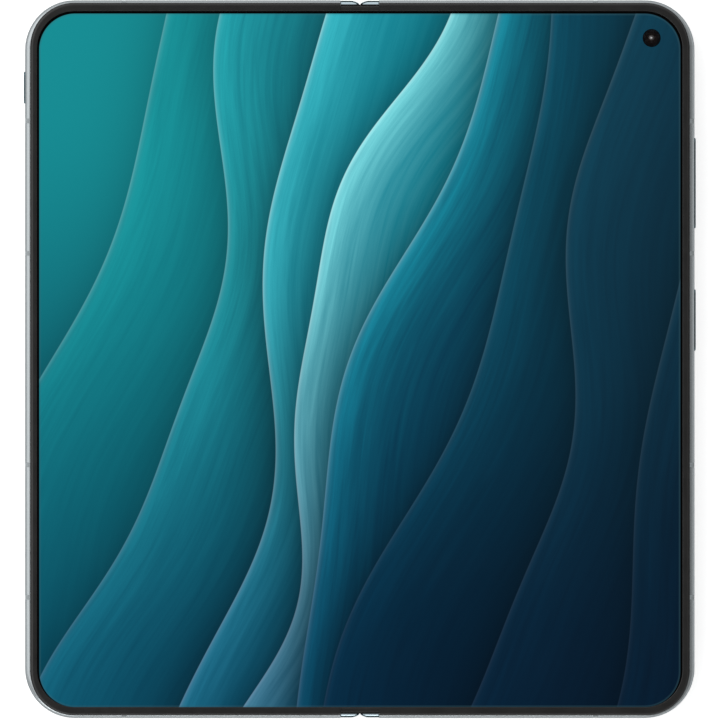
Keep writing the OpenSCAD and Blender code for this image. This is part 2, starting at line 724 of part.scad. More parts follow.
// Metal lids over the chips, on the board's underside, clear of the flat cable
module lids() {
    x1 = room_x0 + board_w - 0.7;
    low = board_low - shield_h;
    block([room_x0 + 0.7, flex_y1 + 1, low], [x1, flex_y1 + 13, board_low]);
    block([room_x0 + 0.7, flex_y1 + 14.5, low], [x1, room_y1 - 3, board_low]);
    block([room_x0 + 5, board_y0 + 0.7, low], [room_x1 - 9, board_y0 + 4.3, board_low]);
}

module board_shields() color("silver") lifted() lids();

module right_battery() color("#333840") lifted()
    block([battery_x0, battery_y0, inside_low], [battery_x1, battery_y1, inside_high]);

// The receptacle's drawn shell, closed at its inner end
module usb_c_shell() color("silver") lifted()
    translate([usb_x, -body_h / 2, side_mid_z]) rotate([90, 0, 0]) rotate([0, 0, 90])
        difference() {
            translate([0, 0, -usb_depth]) linear_extrude(usb_depth - 0.3)
                pill(usb_w + 2 * usb_wall, usb_h + 2 * usb_wall);
            translate([0, 0, -usb_depth + 0.6]) linear_extrude(usb_depth) pill(usb_w, usb_h);
        }

module usb_c_tongue() color("#1a1a1a") lifted() translate([usb_x, -body_h / 2, side_mid_z])
    block([-3.35, 1.2, -0.35], [3.35, usb_depth - 0.6, 0.35]);

// A speaker box, cut to the round of the corner
module speaker_box(low) intersection() {
    block([speaker_x0, -room_y1, low], [room_x1 - 1.6, -speaker_y0, inside_high]);
    half_plate(0, wall_t + 0.4, wall_t + 0.4, corner_r - wall_t - 0.4, 0, body_t);
}

module right_speaker() color("#24262a") lifted() speaker_box(inside_low);

module switch_block(y, len, x1) block([battery_x1 + 0.3, y - len / 2, side_mid_z - 1],
                                      [x1, y + len / 2, side_mid_z + 1]);

module side_switches() color("#3a3a3a") lifted() {
    switch_block(volume_y, 12, wall_in - 1.1);
    switch_block(power_y, 6, wall_in - 0.9);
}

module inner_camera() color("#202428") lifted() translate([punch_x, punch_y, 0]) {
    block([-3, -3, back_t + 1.2], [3, 3, inside_high]);
    translate([0, 0, inside_high - 0.1]) cylinder(r = punch_r, h = mid_top - inside_high + 0.1);
}

module inner_camera_window() color("black") lifted() translate([punch_x, punch_y, screen_bottom])
    cylinder(r = punch_r, h = screen_t - 0.03);

module vibration_motor() color("silver") lifted()
    block([half_mid_x - 6, battery_y0 - 14, inside_low], [half_mid_x + 6, battery_y0 - 4, inside_high]);

// ---- Inside the left half ----

module left_battery() color("#333840") lifted() flipped()
    block([battery_x0, -body_h / 2 + 8, cover_low], [battery_x1, battery_y1, inside_high]);

module left_board() color("darkgreen") lifted() flipped()
    block([room_x0, board_y0, board_low], [speaker_x0 - 2, body_h / 2 - 10.7, inside_high]);

module left_shields() color("silver") lifted() flipped() {
    low = board_low - shield_h;
    block([room_x0 + 5, board_y0 + 0.7, low], [speaker_x0 - 3, board_y0 + 16, board_low]);
    block([room_x0 + 5, board_y0 + 18, low], [speaker_x0 - 3, body_h / 2 - 12, board_low]);
}

module cover_camera() color("#202428") lifted() flipped()
    translate([half_mid_x, body_h / 2 - 6, 0]) {
        translate([0, 0, back_t + seat_gap]) cylinder(r = 1.9, h = 1.5);
        block([-2.6, -2.6, cover_low], [2.6, 2.6, inside_high]);
    }

module earpiece() color("#24262a") lifted() flipped()
    block([half_mid_x - 15, room_y1 - 4.4, cover_low], [half_mid_x - 4, room_y1, inside_high]);

module left_speaker() color("#24262a") lifted() flipped() mirror([0, 1, 0]) speaker_box(cover_low);

module slider_switch() color("#3a3a3a") lifted() flipped() switch_block(slider_y, 9, wall_in - 0.7);

right_frame();
right_back_cover();
right_bezel();
display_right();
right_end_ears();
camera_island();
lens_rings();
lens_glasses();
main_camera();
wide_camera();
zoom_camera();
flash_window();
main_board();
board_shields();
right_battery();
usb_c_shell();
usb_c_tongue();
right_speaker();
side_switches();
inner_camera();
inner_camera_window();
vibration_motor();
right_antenna_breaks();
right_screws();
right_hinge_arms();
right_timing_arm();
left_frame();
cover_glass();
cover_screen();
left_bezel();
display_left();
left_end_ears();
left_battery();
left_board();
left_shields();
cover_camera();
earpiece();
left_speaker();
slider_switch();
left_antenna_breaks();
left_screws();
left_hinge_arms();
left_timing_arm();
spine_cover();
spine_end_caps();
hinge_cores();
timing_core();
hinge_shafts();
friction_washers();
display_fold();
hinge_flex();
idler_gear_right();
idler_gear_left();
right_wing_plate();
left_wing_plate();
volume_rocker();
power_button();
sim_tray();
alert_slider();
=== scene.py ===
import json
from math import pi, radians

import bmesh
import bpy
from mathutils import Matrix, Vector

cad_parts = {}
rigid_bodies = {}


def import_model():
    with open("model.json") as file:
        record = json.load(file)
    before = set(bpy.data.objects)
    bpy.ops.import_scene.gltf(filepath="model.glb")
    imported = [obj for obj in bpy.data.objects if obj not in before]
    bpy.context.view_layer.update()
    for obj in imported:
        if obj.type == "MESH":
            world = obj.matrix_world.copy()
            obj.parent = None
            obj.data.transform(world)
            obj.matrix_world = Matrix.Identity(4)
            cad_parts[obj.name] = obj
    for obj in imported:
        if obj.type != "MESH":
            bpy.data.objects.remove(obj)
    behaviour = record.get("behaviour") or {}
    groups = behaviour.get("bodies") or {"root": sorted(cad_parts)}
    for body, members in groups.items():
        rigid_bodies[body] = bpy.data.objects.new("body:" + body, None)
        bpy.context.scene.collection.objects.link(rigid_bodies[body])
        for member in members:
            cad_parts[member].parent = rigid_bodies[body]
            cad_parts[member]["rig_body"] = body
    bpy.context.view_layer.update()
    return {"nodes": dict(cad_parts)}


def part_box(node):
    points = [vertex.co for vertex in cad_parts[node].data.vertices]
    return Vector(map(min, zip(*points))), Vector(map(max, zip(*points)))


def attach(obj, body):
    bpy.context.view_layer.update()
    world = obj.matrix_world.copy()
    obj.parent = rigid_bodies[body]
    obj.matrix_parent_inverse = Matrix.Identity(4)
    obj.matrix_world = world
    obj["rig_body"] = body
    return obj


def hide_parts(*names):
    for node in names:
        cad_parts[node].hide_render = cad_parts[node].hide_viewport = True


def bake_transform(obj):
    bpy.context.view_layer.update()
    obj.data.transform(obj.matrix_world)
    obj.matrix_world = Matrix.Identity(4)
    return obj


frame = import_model()
nodes = frame["nodes"]
mm = 0.001

# ---- The studio ----
# A white floor just under the camera ring, a white room with a dark patch of ceiling for the
# screen to mirror, a soft lamp on the left, and a long lens straight above the open phone.

view_height = 0.15386       # what the photograph's frame takes in, across and along
view_centre = (0.00004, -0.00019)
view_plane = 7.1 * mm       # the height at which the picture is to scale

scene = bpy.context.scene
scene.view_settings.view_transform = "Standard"


def add(tree, kind, inputs=None, **settings):
    """One shader node; an input is a number, a colour or another node's socket."""
    node = tree.nodes.new(kind)
    for name, value in settings.items():
        setattr(node, name, value)
    for socket, value in (inputs or {}).items():
        if isinstance(value, bpy.types.NodeSocket):
            tree.links.new(value, node.inputs[socket])
        else:
            node.inputs[socket].default_value = value
    return node


def calc(tree, operation, *values, clamp=False):
    """The result of one Math node."""
    return add(tree, "ShaderNodeMath", dict(enumerate(values)),
               operation=operation, use_clamp=clamp).outputs[0]


def ramp(tree, value, low, high, to_low=0.0, to_high=1.0, smooth=True):
    """A value taken from one range to another, with soft ends unless smooth is off."""
    return add(tree, "ShaderNodeMapRange",
               {"Value": value, "From Min": low, "From Max": high, "To Min": to_low, "To Max": to_high},
               interpolation_type="SMOOTHSTEP" if smooth else "LINEAR").outputs["Result"]


def mix(tree, share, first, second, blend="MIX"):
    """Two colours mixed."""
    node = add(tree, "ShaderNodeMix", data_type="RGBA", blend_type=blend)
    for socket, value in ((0, share), (6, first), (7, second)):
        if isinstance(value, bpy.types.NodeSocket):
            tree.links.new(value, node.inputs[socket])
        else:
            node.inputs[socket].default_value = value
    return node.outputs[2]


def object_place(tree):
    """Where each point of an object is, in metres."""
    return add(tree, "ShaderNodeTexCoord").outputs["Object"]


def noise(tree, place, scale, detail, **more):
    """A random pattern's value."""
    inputs = {"Vector": place, "Scale": scale, "Detail": detail, **more}
    return add(tree, "ShaderNodeTexNoise", inputs).outputs[0]


def principled(name, **sockets):
    """A new material, with what is the same all over set on its shader."""
    made = bpy.data.materials.new(name)
    made.use_nodes = True
    shader = made.node_tree.nodes["Principled BSDF"]
    for socket, value in sockets.items():
        shader.inputs[socket.replace("_", " ")].default_value = value
    return made, made.node_tree, shader


camera_data = bpy.data.cameras.new("camera")
camera_data.lens = 400
camera_data.sensor_width = 36
camera_data.clip_start, camera_data.clip_end = 0.05, 20
camera = bpy.data.objects.new("camera", camera_data)
view_distance = view_height * camera_data.lens / camera_data.sensor_width
camera.location = (*view_centre, view_plane + view_distance)
scene.collection.objects.link(camera)
scene.camera = camera

world = bpy.data.worlds.new("room")
world.use_nodes = True
scene.world = world
room = world.node_tree
direction = add(room, "ShaderNodeSeparateXYZ",
                {0: add(room, "ShaderNodeTexCoord").outputs["Generated"]}).outputs
patch = ramp(room, direction["Z"], 0.86, 0.98, 1, 0.03)       # the dark patch straight above
wall = ramp(room, direction["X"], -0.6, 0.7, 0.82, 0.38)      # the walls darken away from the lamp
band = ramp(room, direction["Z"], 0.26, 0.46, 1.0, 0.0)       # a pale band lies low down all round
low_wall = ramp(room, direction["X"], -0.2, 0.5, 0.85, 0.55)  # and is duller on the right
walls = calc(room, "MULTIPLY_ADD", calc(room, "SUBTRACT", low_wall, wall), band,
             calc(room, "MULTIPLY", patch, wall))
far = ramp(room, direction["Y"], -0.7, 0.7, 0.8, 1.35)        # the far end is the brightest
seen = add(room, "ShaderNodeLightPath").outputs["Is Camera Ray"]
strength = calc(room, "MAXIMUM", calc(room, "MULTIPLY", walls, far), seen)
background = room.nodes["Background"]
background.inputs["Color"].default_value = (1, 1, 1, 1)
room.links.new(strength, background.inputs["Strength"])


def soft_lamp(name, place, aim, size, watts):
    """A soft box that looks at a point."""
    data = bpy.data.lights.new(name, "AREA")
    data.shape, data.size, data.size_y = "RECTANGLE", *size
    data.energy = watts
    lamp = bpy.data.objects.new(name, data)
    lamp.location = place
    lamp.rotation_euler = (Vector(aim) - Vector(place)).to_track_quat("-Z", "Y").to_euler()
    scene.collection.objects.link(lamp)


soft_lamp("key_lamp", (-1.25, 0.45, 1.3), (0, 0, 0), (2.4, 2.4), 11)
soft_lamp("low_lamp", (-0.45, -1.1, 0.35), (0, -0.03, 0), (1.2, 0.25), 2.6)

floor_r, floor_z = 6, -0.2 * mm
floor_paint, floor_tree, floor_shader = principled("floor_paint", Roughness=0.9, Specular_IOR_Level=0.0)
path = add(floor_tree, "ShaderNodeLightPath").outputs
direct = calc(floor_tree, "MULTIPLY_ADD", path["Is Glossy Ray"], 0.4, path["Is Camera Ray"])
direct = calc(floor_tree, "ADD", direct, path["Is Transmission Ray"], clamp=True)
mottle = noise(floor_tree, object_place(floor_tree), 40.0, 4.0)
floor_tree.links.new(ramp(floor_tree, mottle, 0.3, 0.7, 0.80, 0.82), floor_shader.inputs["Base Color"])
floor_shader.inputs["Emission Color"].default_value = (1, 1, 1, 1)
floor_tree.links.new(calc(floor_tree, "MULTIPLY", direct, 0.68), floor_shader.inputs["Emission Strength"])
mesh = bpy.data.meshes.new("floor")
shape = bmesh.new()
bmesh.ops.create_circle(shape, cap_ends=True, segments=96, radius=floor_r)
bmesh.ops.translate(shape, verts=shape.verts, vec=(0, 0, floor_z))
shape.to_mesh(mesh)
shape.free()
mesh.materials.append(floor_paint)
floor = bpy.data.objects.new("floor", mesh)
scene.collection.objects.link(floor)


# ---- Metal side frames ----
# Each half of the phone has one milled and blasted aluminium frame, silver with a cool tint.
# Its outer edges are rounded, and it runs on under the hinge as a thin lip.

def socket(group, side, name, kind="NodeSocketFloat", value=None):
    """One input or output of a node group."""
    made = group.interface.new_socket(name=name, in_out=side, socket_type=kind)
    if value is not None:
        made.default_value = value


# A fine grain in two tones, with a broad drift over it, from blasting, brushing or moulding.
grain = bpy.data.node_groups.new("grain", "ShaderNodeTree")
for name, kind, value in (("Place", "NodeSocketVector", None), ("Size", "NodeSocketFloat", 0.1),
                          ("Tone A", "NodeSocketColor", None), ("Tone B", "NodeSocketColor", None),
                          ("Rough", "NodeSocketFloat", 0.4), ("Spread", "NodeSocketFloat", 0.1)):
    socket(grain, "INPUT", name, kind, value)
for name, kind in (("Color", "NodeSocketColor"), ("Roughness", "NodeSocketFloat"),
                   ("Height", "NodeSocketFloat")):
    socket(grain, "OUTPUT", name, kind)
given = add(grain, "NodeGroupInput").outputs
result = add(grain, "NodeGroupOutput").inputs
scale = calc(grain, "DIVIDE", 1 / mm, given["Size"])
fine = noise(grain, given["Place"], scale, 3.0)
broad = noise(grain, given["Place"], calc(grain, "MULTIPLY", scale, 0.03), 4.0)
tone = calc(grain, "ADD", calc(grain, "MULTIPLY", fine, 0.7), calc(grain, "MULTIPLY", broad, 0.3))
tone = ramp(grain, tone, 0.36, 0.64)
grain.links.new(mix(grain, tone, given["Tone A"], given["Tone B"]), result["Color"])
off_middle = calc(grain, "SUBTRACT", tone, 0.5)
grain.links.new(calc(grain, "MULTIPLY_ADD", off_middle, given["Spread"], given["Rough"]), result["Roughness"])
grain.links.new(fine, result["Height"])


def relief(tree, shader, height, depth):
    """Raises a pattern on a surface by a depth in mm."""
    bump = add(tree, "ShaderNodeBump", {"Height": height, "Distance": depth * mm})
    tree.links.new(bump.outputs["Normal"], shader.inputs["Normal"])


def finish(name, tone_a, tone_b, size, rough, spread, depth, streak=(1, 1, 1), uv_unit=None, **sockets):
    """A material with grain: two tones, the grain's size in mm, roughness and its spread, and depth in mm.

    The grain follows the object's own place, or its UV map where that map's unit is given in mm.
    """
    made, tree, shader = principled(name, **sockets)
    place = add(tree, "ShaderNodeTexCoord").outputs["UV" if uv_unit else "Object"]
    if uv_unit:
        size = size / uv_unit / mm
    place = add(tree, "ShaderNodeVectorMath", {0: place, 1: streak}, operation="MULTIPLY").outputs[0]
    group = add(tree, "ShaderNodeGroup", node_tree=grain)
    tree.links.new(place, group.inputs["Place"])
    for key, value in (("Size", size), ("Tone A", (*tone_a, 1)), ("Tone B", (*tone_b, 1)),
                       ("Rough", rough), ("Spread", spread)):
        group.inputs[key].default_value = value
    tree.links.new(group.outputs["Color"], shader.inputs["Base Color"])
    tree.links.new(group.outputs["Roughness"], shader.inputs["Roughness"])
    relief(tree, shader, group.outputs["Height"], depth)
    return made


def piece(name, shape, material, body=None, stands_for=(), sharp=40):
    """A finished shape as an object of the phone: smooth, with its sharp edges kept."""
    for face in shape.faces:
        face.smooth = True
    for edge in shape.edges:
        edge.smooth = len(edge.link_faces) == 2 and edge.calc_face_angle(0) < radians(sharp)
    mesh = bpy.data.meshes.new(name)
    shape.to_mesh(mesh)
    shape.free()
    mesh.materials.append(material)
    made = bpy.data.objects.new(name, mesh)
    scene.collection.objects.link(made)
    flatter = made.modifiers.new("flat faces", "WEIGHTED_NORMAL")
    flatter.keep_sharp = True
    if body:
        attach(made, body)
    if stands_for:
        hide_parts(*stands_for)
    return made


def sewn_copy(node):
    """A CAD node's mesh with its triangles joined up and its flat faces whole."""
    shape = bmesh.new()
    shape.from_mesh(nodes[node].data)
    bmesh.ops.remove_doubles(shape, verts=shape.verts, dist=0.001 * mm)
    bmesh.ops.dissolve_limit(shape, angle_limit=radians(0.3), verts=shape.verts, edges=shape.edges)
    return shape


def ease_edges(shape, width, chosen=None, steps=4):
    """Rounds the sharp edges, or those of them that are chosen."""
    edges = [e for e in shape.edges if len(e.link_faces) == 2 and e.calc_face_angle(0) > radians(50)
             and (chosen is None or chosen(e))]
    bmesh.ops.bevel(shape, geom=edges, offset=width * mm, offset_type="OFFSET", segments=steps,
                    profile=0.5, affect="EDGES", clamp_overlap=True, material=-1)


def smooth_node(node, name, material, ease=0.0, chosen=None, steps=3, sharp=40):
    """The CAD node as a smooth-shaded piece, with its outer edges eased."""
    shape = sewn_copy(node)
    if ease:
        ease_edges(shape, ease, chosen, steps)
    piece(name, shape, material, nodes[node]["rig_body"], (node,), sharp)


# The tint darkens the metal where it turns away from the eye, as anodising does.
blasted = finish("blasted_aluminium", (0.375, 0.405, 0.42), (0.40, 0.43, 0.44), 0.10, 0.25, 0.03, 0.0004,
                 Metallic=1.0, Specular_Tint=(0.32, 0.36, 0.38, 1))
for half in ("right", "left"):
    smooth_node(f"{half}_frame", f"{half}_frame_milled", blasted)

resin = finish("antenna_resin", (0.30, 0.335, 0.35), (0.34, 0.375, 0.385), 0.08, 0.42, 0.1, 0.002)
for half in ("right", "left"):
    smooth_node(f"{half}_antenna_breaks", f"{half}_antenna_resin", resin)


# ---- Hinge ears ----
# Four small polished caps of blue-grey steel close the frame's corners at the fold,
# two at each end, with a notch between them where the halves swing past each other.

# A fine dark line of painted shade, standing for a groove, follows their outline, which turns in
# to the fold on a small round, and a dark line of painted shade marks the seam to the frame.
polished = finish("polished_ears", (0.52, 0.63, 0.69), (0.55, 0.66, 0.72), 0.15, 0.17, 0.03, 0.0003,
                  Metallic=1.0, Specular_Tint=(0.12, 0.17, 0.18, 1))


def placed(tree, uv_map=None):
    """The place on a piece, along x, y and z, from the object or from a UV map."""
    place = add(tree, "ShaderNodeUVMap", uv_map=uv_map).outputs[0] if uv_map else object_place(tree)
    return add(tree, "ShaderNodeSeparateXYZ", {0: place}).outputs


def retone(material):
    """A finished material's node tree, the shader's colour socket, and the tone that it has so far."""
    tree = material.node_tree
    colour_socket = tree.nodes["Principled BSDF"].inputs["Base Color"]
    return tree, colour_socket, colour_socket.links[0].from_socket


ear_tree, ear_colour, ear_tone = retone(polished)
spot = placed(ear_tree)
turn_x, turn_y, turn_r = 2.05 * mm, 73.5 * mm, 3.1 * mm      # the outline's round, and its radius
groove_inset, seam_x = 0.20 * mm, 3.98 * mm
aside = calc(ear_tree, "ABSOLUTE", spot["X"])
over_x = calc(ear_tree, "MINIMUM", calc(ear_tree, "SUBTRACT", aside, turn_x), 0.0)
over_y = calc(ear_tree, "SUBTRACT", calc(ear_tree, "ABSOLUTE", spot["Y"]), turn_y)
over = [calc(ear_tree, "MULTIPLY", part, part) for part in (over_x, over_y)]
inset = calc(ear_tree, "SUBTRACT", turn_r, calc(ear_tree, "SQRT", calc(ear_tree, "ADD", *over)))
off_groove = calc(ear_tree, "ABSOLUTE", calc(ear_tree, "SUBTRACT", inset, groove_inset))
# Painted shade: a dark line along the outline stands for the shade in a groove, and one at the frame for the
# shade in the seam.
painted_groove_shade = ramp(ear_tree, off_groove, 0.08 * mm, 0.16 * mm, 1.0, 0.0)
painted_seam_shade = ramp(ear_tree, aside, seam_x - 0.05 * mm, seam_x + 0.05 * mm)
painted_shade = calc(ear_tree, "MAXIMUM", painted_groove_shade, painted_seam_shade)
ear_tree.links.new(mix(ear_tree, painted_shade, ear_tone, (0.02, 0.045, 0.05, 1)), ear_colour)
for half in ("right", "left"):
    smooth_node(f"{half}_end_ears", f"{half}_ears_polished", polished, sharp=22)


# ---- Bezels ----
# A raised rim of dark moulded plastic round each half of the screen, C-shaped and open at the
# fold. Its edges are rounded over, so its outer side catches the light.

half_w, half_l = 71.55, 76.7            # half of the open phone, across and along
rim_side, rim_end = 1.2, 0.6            # bezel to the frame's outside, at the sides and ends
corner = 9.4                            # the bezel's round corners, outside
window_w, window_l, window_corner = 68.95, 74.35, 8.0
bezel_hinge_x = 4.15
bezel_low, bezel_top = 7.1, 7.8
outer_round, window_round = 0.6, 0.12
corner_mid = (60.95, 66.5)              # about the middle of a corner's round
mid_reach = 8.6                         # from there to the middle of the bezel's width
moulded = finish("bezel_plastic", (0.011, 0.0108, 0.0105), (0.016, 0.0156, 0.015), 0.10, 0.38, 0.10, 0.003,
                 Specular_IOR_Level=0.45)


def half_plate(shape, side, x0, x1, y1, radius, steps=16):
    """A flat plate over one half, from the hinge side outwards, with two round corners."""
    made = bmesh.ops.create_grid(shape, x_segments=1, y_segments=1, size=0.5)["verts"]
    bmesh.ops.scale(shape, vec=((x1 - x0) * mm, 2 * y1 * mm, 1), verts=made)
    bmesh.ops.translate(shape, vec=(side * (x0 + x1) / 2 * mm, 0, 0), verts=made)
    outer = [v for v in made if v.co.x * side > (x0 + x1) / 2 * mm]
    bmesh.ops.bevel(shape, geom=outer, offset=radius * mm, offset_type="OFFSET", segments=steps,
                    profile=0.5, affect="VERTICES", clamp_overlap=False, material=-1)


def draw_out(shape, way):
    """Extrudes all faces of a flat shape along a way, and turns the solid's faces outwards."""
    made = bmesh.ops.extrude_face_region(shape, geom=shape.faces[:])["geom"]
    bmesh.ops.translate(shape, vec=way, verts=[v for v in made if isinstance(v, bmesh.types.BMVert)])
    bmesh.ops.recalc_face_normals(shape, faces=shape.faces)


def thicken(shape, low, high):
    """A flat shape at height 0 as a solid from low to high."""
    bmesh.ops.translate(shape, vec=(0, 0, low * mm), verts=shape.verts)
    draw_out(shape, (0, 0, (high - low) * mm))


def at_height(z):
    """Chooses the edges that lie at one height."""
    return lambda edge: all(abs(v.co.z - z * mm) < 0.01 * mm for v in edge.verts)


def reach_out(vert):
    """How far out a point of the bezel is from the middle of its corner's round."""
    beyond = [max(abs(place) / mm - middle, 0) for place, middle in zip(vert.co.xy, corner_mid)]
    return Vector(beyond).length


for side, half in ((1, "right"), (-1, "left")):
    shape = bmesh.new()
    half_plate(shape, side, bezel_hinge_x, half_w - rim_side, half_l - rim_end, corner)
    half_plate(shape, side, bezel_hinge_x, window_w, window_l, window_corner)
    bmesh.ops.delete(shape, geom=shape.faces[:], context="FACES_ONLY")
    straight = [e for e in shape.edges
                if all(abs(v.co.x * side - bezel_hinge_x * mm) < 0.01 * mm for v in e.verts)]
    bmesh.ops.delete(shape, geom=straight, context="EDGES")
    bmesh.ops.bridge_loops(shape, edges=shape.edges[:])
    thicken(shape, bezel_low, bezel_top)
    top = at_height(bezel_top)
    ease_edges(shape, outer_round, steps=7,
               chosen=lambda e: top(e) and all(reach_out(v) > mid_reach for v in e.verts))
    ease_edges(shape, window_round, steps=3,
               chosen=lambda e: top(e) and all(reach_out(v) < mid_reach for v in e.verts))
    piece(f"{half}_bezel_rim", shape, moulded, f"{half}_half", (f"{half}_bezel",))


# ---- Folding screen ----
# One flexible display under a clear cover film. It is made as two sheets that meet on the fold
# line, each cut across near the fold where it bends. The picture on it is a generic one of layered waves.

picture = bpy.data.node_groups.new("wave_sheet", "ShaderNodeTree")
for name, kind, value in (("Below", "NodeSocketColor", None), ("Along", "NodeSocketFloat", 0.0),
                          ("Across", "NodeSocketFloat", 0.0), ("Centre", "NodeSocketFloat", 0.0),
                          ("Swell", "NodeSocketFloat", 0.05), ("Length", "NodeSocketFloat", 1.0),
                          ("Phase", "NodeSocketFloat", 0.0), ("Edge Tint", "NodeSocketColor", None),
                          ("Deep Tint", "NodeSocketColor", None), ("Fall", "NodeSocketFloat", 0.1),
                          ("Shade", "NodeSocketFloat", 0.5), ("Crest", "NodeSocketFloat", 0.3)):
    socket(picture, "INPUT", name, kind, value)
socket(picture, "OUTPUT", "Color", "NodeSocketColor")
given = add(picture, "NodeGroupInput").outputs
turns = calc(picture, "DIVIDE", given["Along"], given["Length"])
turn = calc(picture, "MULTIPLY_ADD", turns, 2 * pi, given["Phase"])
swell = calc(picture, "MULTIPLY", calc(picture, "SINE", turn), given["Swell"])
ripple = calc(picture, "SINE", calc(picture, "MULTIPLY_ADD", turn, 2.3, given["Phase"]))
ripple = calc(picture, "MULTIPLY", ripple, calc(picture, "MULTIPLY", given["Swell"], 0.22))
swell = calc(picture, "ADD", swell, ripple)
inward = calc(picture, "SUBTRACT", calc(picture, "SUBTRACT", given["Across"], given["Centre"]), swell)
mask = ramp(picture, inward, -0.0007, 0.0007)
depth = calc(picture, "MAXIMUM", inward, 0.0)
fall = calc(picture, "MULTIPLY", calc(picture, "DIVIDE", depth, given["Fall"]), -1.0)
fall = calc(picture, "EXPONENT", fall)
silk_along = calc(picture, "MULTIPLY", given["Along"], 1.6)
silk_in = calc(picture, "MULTIPLY", depth, 34.0)
silk_place = add(picture, "ShaderNodeCombineXYZ", {0: silk_along, 1: silk_in, 2: given["Phase"]}).outputs[0]
silk = noise(picture, silk_place, 3.0, 7.0, Roughness=0.62, Distortion=0.35)
silk = ramp(picture, silk, 0.25, 0.75, -0.5, 0.5, smooth=False)
silk = calc(picture, "MULTIPLY", silk, calc(picture, "MULTIPLY_ADD", fall, 0.75, 0.10))
share = calc(picture, "ADD", fall, silk, clamp=True)
sheet_tint = mix(picture, share, given["Deep Tint"], given["Edge Tint"])
crest = calc(picture, "EXPONENT", calc(picture, "MULTIPLY", depth, -420.0))
crest = calc(picture, "MULTIPLY", crest, given["Crest"])
crest_tint = mix(picture, 0.75, given["Edge Tint"], (0.75, 0.95, 0.95, 1))
sheet_tint = mix(picture, crest, sheet_tint, crest_tint)
shadow = calc(picture, "EXPONENT", calc(picture, "MULTIPLY", calc(picture, "MINIMUM", inward, 0.0), 26.0))
shadow = calc(picture, "MULTIPLY", shadow, given["Shade"])
below = mix(picture, shadow, given["Below"], (0.002, 0.010, 0.014, 1))
picture.links.new(mix(picture, mask, below, sheet_tint), add(picture, "NodeGroupOutput").inputs["Color"])

lit, lit_tree, lit_shader = principled("screen_film", IOR=1.42)
uv = placed(lit_tree, "flat")
lean_x, lean_y = 0.26, 0.966      # the waves lean by about 15 degrees
along = calc(lit_tree, "ADD", calc(lit_tree, "MULTIPLY", uv["X"], lean_x),
             calc(lit_tree, "MULTIPLY", uv["Y"], lean_y))
across = calc(lit_tree, "SUBTRACT", calc(lit_tree, "MULTIPLY", uv["X"], lean_y),
              calc(lit_tree, "MULTIPLY", uv["Y"], lean_x))
colour = mix(lit_tree, ramp(lit_tree, uv["Y"], -0.5, 0.5), (0.004, 0.130, 0.175, 1), (0.008, 0.270, 0.300, 1))
sheets = (
    # centre, swell, length, phase, edge tint, deep tint, fall, shade, crest
    (-0.41, 0.040, 1.30, 0.4, (0.010, 0.32, 0.350), (0.005, 0.200, 0.235), 0.100, 0.30, 0.18),
    (-0.26, 0.050, 1.10, 1.9, (0.018, 0.38, 0.430), (0.005, 0.160, 0.210), 0.090, 0.40, 0.24),
    (-0.13, 0.055, 1.25, 3.1, (0.045, 0.52, 0.600), (0.004, 0.220, 0.290), 0.050, 0.55, 0.50),
    (-0.05, 0.045, 0.95, 4.0, (0.220, 0.78, 0.830), (0.006, 0.250, 0.330), 0.036, 0.55, 0.60),
    (0.030, 0.040, 1.20, 5.2, (0.010, 0.28, 0.380), (0.003, 0.060, 0.110), 0.045, 0.60, 0.28),
    (0.125, 0.045, 1.35, 0.7, (0.004, 0.082, 0.135), (0.003, 0.034, 0.062), 0.060, 0.60, 0.06),
    (0.270, 0.045, 1.10, 2.4, (0.005, 0.052, 0.090), (0.004, 0.027, 0.050), 0.080, 0.55, 0.05),
    (0.430, 0.035, 1.25, 3.6, (0.005, 0.040, 0.070), (0.004, 0.018, 0.034), 0.090, 0.50, 0.04),
)
for centre, swell, length, phase, edge, deep, fall, shade, crest in sheets:
    sheet = add(lit_tree, "ShaderNodeGroup", node_tree=picture)
    for name, value in (("Centre", centre), ("Swell", swell), ("Length", length), ("Phase", phase),
                        ("Edge Tint", (*edge, 1)), ("Deep Tint", (*deep, 1)), ("Fall", fall),
                        ("Shade", shade), ("Crest", crest)):
        sheet.inputs[name].default_value = value
    for name, value in (("Below", colour), ("Along", along), ("Across", across)):
        lit_tree.links.new(value, sheet.inputs[name])
    colour = sheet.outputs[0]


def dimmed(colour, red, green, blue):
    """The picture with each of its three colours taken down or up."""
    share = add(lit_tree, "ShaderNodeCombineColor", {0: red, 1: green, 2: blue}).outputs[0]
    return mix(lit_tree, 1.0, colour, share, "MULTIPLY")


# The picture darkens and turns bluer towards its foot, and has a fine film grain.
dusk, dusk_blue = (ramp(lit_tree, uv["Y"], -0.5, 0.35, low, 1.0) for low in (0.34, 0.48))
colour = dimmed(colour, dusk, dusk, dusk_blue)
flat_place = add(lit_tree, "ShaderNodeUVMap", uv_map="flat").outputs[0]
grain_tone = ramp(lit_tree, noise(lit_tree, flat_place, 1300.0, 3.0), 0.3, 0.7, 0.93, 1.07, smooth=False)
colour = dimmed(colour, grain_tone, grain_tone, grain_tone)

# What is lit is a round-cornered field inside the black border, with a faint line along its edge.
active_x, active_y, active_corner = 68.49, 74.08, 7.7
active_shift = -0.27      # the field lies a little low
unit = 153.4              # one UV unit, in mm


def field_reach(tree, x, y, half_x, half_y, round_r):
    """How far a place is from the straight part of a round-cornered field, whose edge is at round_r."""
    squares = []
    for place, half in ((x, half_x), (y, half_y)):
        beyond = calc(tree, "SUBTRACT", calc(tree, "ABSOLUTE", place), half - round_r)
        beyond = calc(tree, "MAXIMUM", beyond, 0.0)
        squares.append(calc(tree, "MULTIPLY", beyond, beyond))
    return calc(tree, "SQRT", calc(tree, "ADD", *squares))


